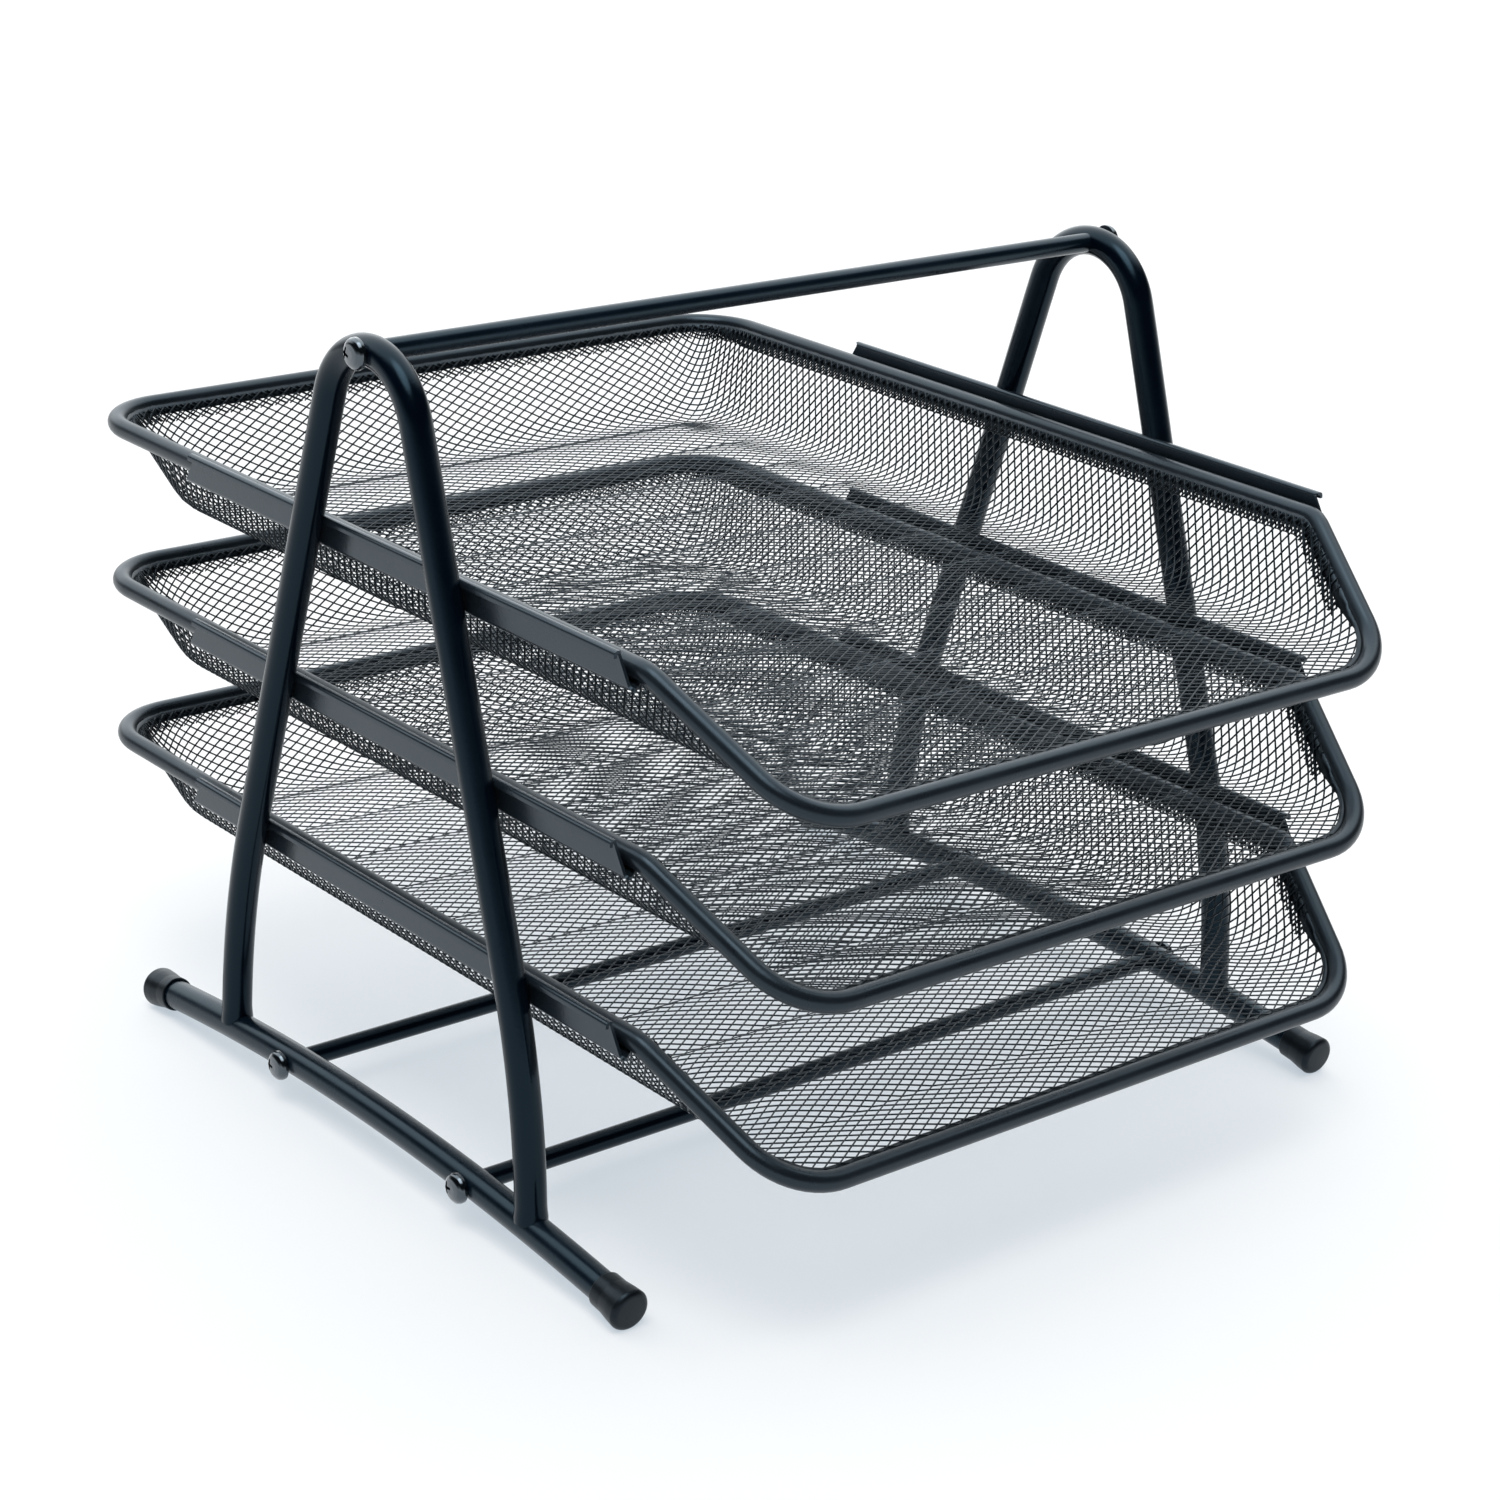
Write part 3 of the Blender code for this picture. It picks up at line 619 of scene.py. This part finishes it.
def hem_strip(name, zi):
    """the folded edge of the mesh, a narrow double strip tucked under the rim"""
    p = resample(RIM, 2.5, True)
    t = np.roll(p, -1, 0) - np.roll(p, 1, 0)
    t /= np.linalg.norm(t, axis=1)[:, None]
    s = np.cross(t, [0, 0, 1.0])
    s /= np.linalg.norm(s, axis=1)[:, None]
    c = p.mean(0)
    if ((c - p[0]) @ s[0]) < 0:
        s = -s
    up = np.cross(s, t)
    up *= np.sign(up[:, 2:3])
    front = np.clip((-150 - p[:, 1]) / 15, 0, 1)
    ph = np.arange(len(p))
    wob = 0.16 * np.sin(ph * 1.9) + 0.12 * np.sin(ph * 0.83 + 1.0)
    d0 = 2.4 + 0 * ph
    d1 = np.where(front > 0.5, 4.3, 4.7) + wob * 0.6
    z0 = np.where(front > 0, 0.8 * front, 0.9 * (1 - front))
    z1 = (1 - front) * (-2.4 + wob) + front * 1.9
    a = p + s * d0[:, None] + up * z0[:, None]
    b = p + s * d1[:, None] + up * z1[:, None]
    nn = np.cross(b - a, t)
    nn /= np.linalg.norm(nn, axis=1)[:, None]
    th = 0.35
    ring = np.stack([a + nn * th, b + nn * th, b - nn * th, a - nn * th], 1)
    ring[..., 2] += zi
    n = len(p)
    i = np.arange(n)[:, None]
    k = np.arange(4)[None]
    q = np.stack([i * 4 + k, ((i + 1) % n) * 4 + k, ((i + 1) % n) * 4 + (k + 1) % 4, i * 4 + (k + 1) % 4], -1).reshape(-1, 4)
    ob = mesh_object(name, ring.reshape(-1, 3), q, [WIRE], smooth=False)
    fix_normals(ob)
    return ob


def build_trays():
    for tier, zi in TIER.items():
        body = "tray_" + tier
        path = resample(RIM + np.array([0, 0, zi]), 2.4, True)
        put(sweep(tier + "_rim_look", path, RIM_R, 36, [LIT_RIM_STEEL], closed=True), body, "black_painted_steel", tier + "_tray_rim")
        put(lattice(tier + "_mesh_look", zi), body, "black_painted_mesh", tier + "_tray_basket")
        put(lattice(tier + "_hem_a", zi, lift=0.55, shift=(1.3, 0.9), band=5.0, width=0.42), body, "black_painted_mesh")
        put(lattice(tier + "_hem_b", zi, lift=-0.45, shift=(2.6, 0.3), band=4.2, width=0.42), body, "black_painted_mesh")
        put(hem_strip(tier + "_hem_edge", zi), body, "black_painted_mesh")


build_stand()
build_screws()
build_rails()
build_trays()

# ---------------------------------------------------------------- stage and light
fm = bpy.data.materials.new("floor")
fm.use_nodes = True
fb = fm.node_tree.nodes["Principled BSDF"]
fb.inputs["Base Color"].default_value = (0.43, 0.378, 0.338, 1)
fb.inputs["Roughness"].default_value = 0.85
fb.inputs["Specular IOR Level"].default_value = 0.1
fb.inputs["Emission Color"].default_value = (0.80, 0.905, 1.0, 1.0)
fb.inputs["Emission Strength"].default_value = 0.61
floor = mesh_object("floor", [(-30000, -30000, -0.05), (30000, -30000, -0.05), (30000, 30000, -0.05), (-30000, 30000, -0.05)], [(0, 1, 2, 3)], [fm], smooth=False)

world = bpy.data.worlds.new("studio")
bpy.context.scene.world = world
world.use_nodes = True
nt = world.node_tree
N, L = nt.nodes, nt.links
bg = N["Background"]
tc = N.new("ShaderNodeTexCoord")
sep = N.new("ShaderNodeSeparateXYZ")
L.new(tc.outputs["Generated"], sep.inputs["Vector"])


def lobe(direction, lo, hi, gain):
    """soft box in a direction of the sky"""
    d = N.new("ShaderNodeVectorMath")
    d.operation = "DOT_PRODUCT"
    L.new(tc.outputs["Generated"], d.inputs[0])
    v = Vector(direction).normalized()
    d.inputs[1].default_value = v
    r = N.new("ShaderNodeMapRange")
    r.interpolation_type = "SMOOTHSTEP"
    r.inputs["From Min"].default_value = lo
    r.inputs["From Max"].default_value = hi
    r.inputs["To Min"].default_value = 0.0
    r.inputs["To Max"].default_value = gain
    L.new(d.outputs["Value"], r.inputs["Value"])
    return r.outputs["Result"]


band = N.new("ShaderNodeMapRange")
band.interpolation_type = "SMOOTHSTEP"
band.inputs["From Min"].default_value = 0.02
band.inputs["From Max"].default_value = 0.26
band.inputs["To Min"].default_value = 0.60
band.inputs["To Max"].default_value = 0.0
L.new(sep.outputs["Z"], band.inputs["Value"])
parts = [lobe((0.30, 0.60, 0.95), 0.50, 0.76, 2.0), lobe((-0.25, -0.25, 1), 0.90, 0.985, 4.5), band.outputs["Result"]]
acc = None
for s in parts:
    if acc is None:
        acc = s
        continue
    a = N.new("ShaderNodeMath")
    a.operation = "ADD"
    L.new(acc, a.inputs[0])
    L.new(s, a.inputs[1])
    acc = a.outputs["Value"]
a = N.new("ShaderNodeMath")
a.operation = "ADD"
L.new(acc, a.inputs[0])
a.inputs[1].default_value = 0.02
L.new(a.outputs["Value"], bg.inputs["Strength"])
bg.inputs["Color"].default_value = (0.93, 0.975, 1.0, 1)

# ---------------------------------------------------------------- camera
yaw, pitch, roll = math.radians(39.613), math.radians(-20.863), math.radians(2.134)
fw = Vector((math.sin(yaw) * math.cos(pitch), math.cos(yaw) * math.cos(pitch), math.sin(pitch)))
rt = Vector((math.cos(yaw), -math.sin(yaw), 0))
up = rt.cross(fw)
rt2 = rt * math.cos(roll) + up * math.sin(roll)
up2 = -rt * math.sin(roll) + up * math.cos(roll)
cam = bpy.data.cameras.new("cam")
cam.sensor_width = 36.0
cam.sensor_fit = "HORIZONTAL"
cam.lens = 3422.5 / 1500 * 36.0
cam.clip_start = 0.05
cam.clip_end = 200
cam_ob = bpy.data.objects.new("cam", cam)
bpy.context.scene.collection.objects.link(cam_ob)
cam_ob.matrix_world = Matrix(((rt2.x, up2.x, -fw.x, -0.6463), (rt2.y, up2.y, -fw.y, -0.79385), (rt2.z, up2.z, -fw.z, 0.4884), (0, 0, 0, 1)))
bpy.context.scene.camera = cam_ob
bpy.context.scene.view_settings.view_transform = "Standard"
bpy.context.scene.view_settings.look = "None"
